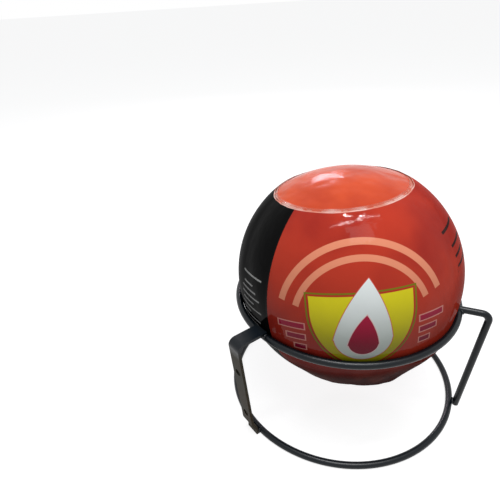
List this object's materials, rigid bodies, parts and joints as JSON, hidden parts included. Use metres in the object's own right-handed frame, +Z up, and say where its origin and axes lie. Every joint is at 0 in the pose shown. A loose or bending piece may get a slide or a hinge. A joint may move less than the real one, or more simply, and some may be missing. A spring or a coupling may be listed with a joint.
{
  "type": "fire extinguisher ball",
  "caption": "Throwable dry-powder fire extinguisher ball in a printed film, resting in a black wire ring stand with a flat strap for fixing to a wall.",
  "frame": {"origin": "on the common axis of the two rings, at floor level", "axes": "+Z up; the flat wall strap stands on the -Y side, and its corner and the back of the lower ring are the ends of the longest extent, along Y"},
  "size_m": [0.1702, 0.1823, 0.1712],
  "materials": {
    "film_red": "printed shrink film, glossy",
    "ink_black": "printed, under the film's gloss",
    "ink_yellow": "printed, under the film's gloss",
    "ink_white": "printed, under the film's gloss",
    "ink_crimson": "printed, under the film's gloss",
    "ink_salmon": "printed, under the film's gloss",
    "foam_orange": "coated rigid foam",
    "powder": "loose dry powder, taken as one block",
    "tube_card": "rolled card",
    "plug_clay": "pressed clay",
    "burst_black": "grained black powder",
    "fuse_cotton": "coated cotton fuse",
    "bracket_black": "glossy black paint on steel"
  },
  "bodies": {
    "root": {"film_sleeve": "film_red", "print_panel": "ink_black", "print_shield": "ink_yellow", "print_flame": "ink_white", "print_flame_core": "ink_crimson", "print_arches": "ink_salmon", "print_bars": "ink_crimson", "shell_upper": "foam_orange", "shell_lower": "foam_orange", "powder_fill": "powder", "charge_tube": "tube_card", "charge_plug_upper": "plug_clay", "charge_plug_lower": "plug_clay", "burst_charge": "burst_black", "fuse_ring": "fuse_cotton", "fuse_lead_right": "fuse_cotton", "fuse_lead_left": "fuse_cotton", "ring_upper": "bracket_black", "ring_lower": "bracket_black", "wall_strap": "bracket_black", "strut_right": "bracket_black", "strut_left": "bracket_black", "weld_beads_upper": "bracket_black", "weld_beads_lower": "bracket_black"}
  },
  "joints": []
}
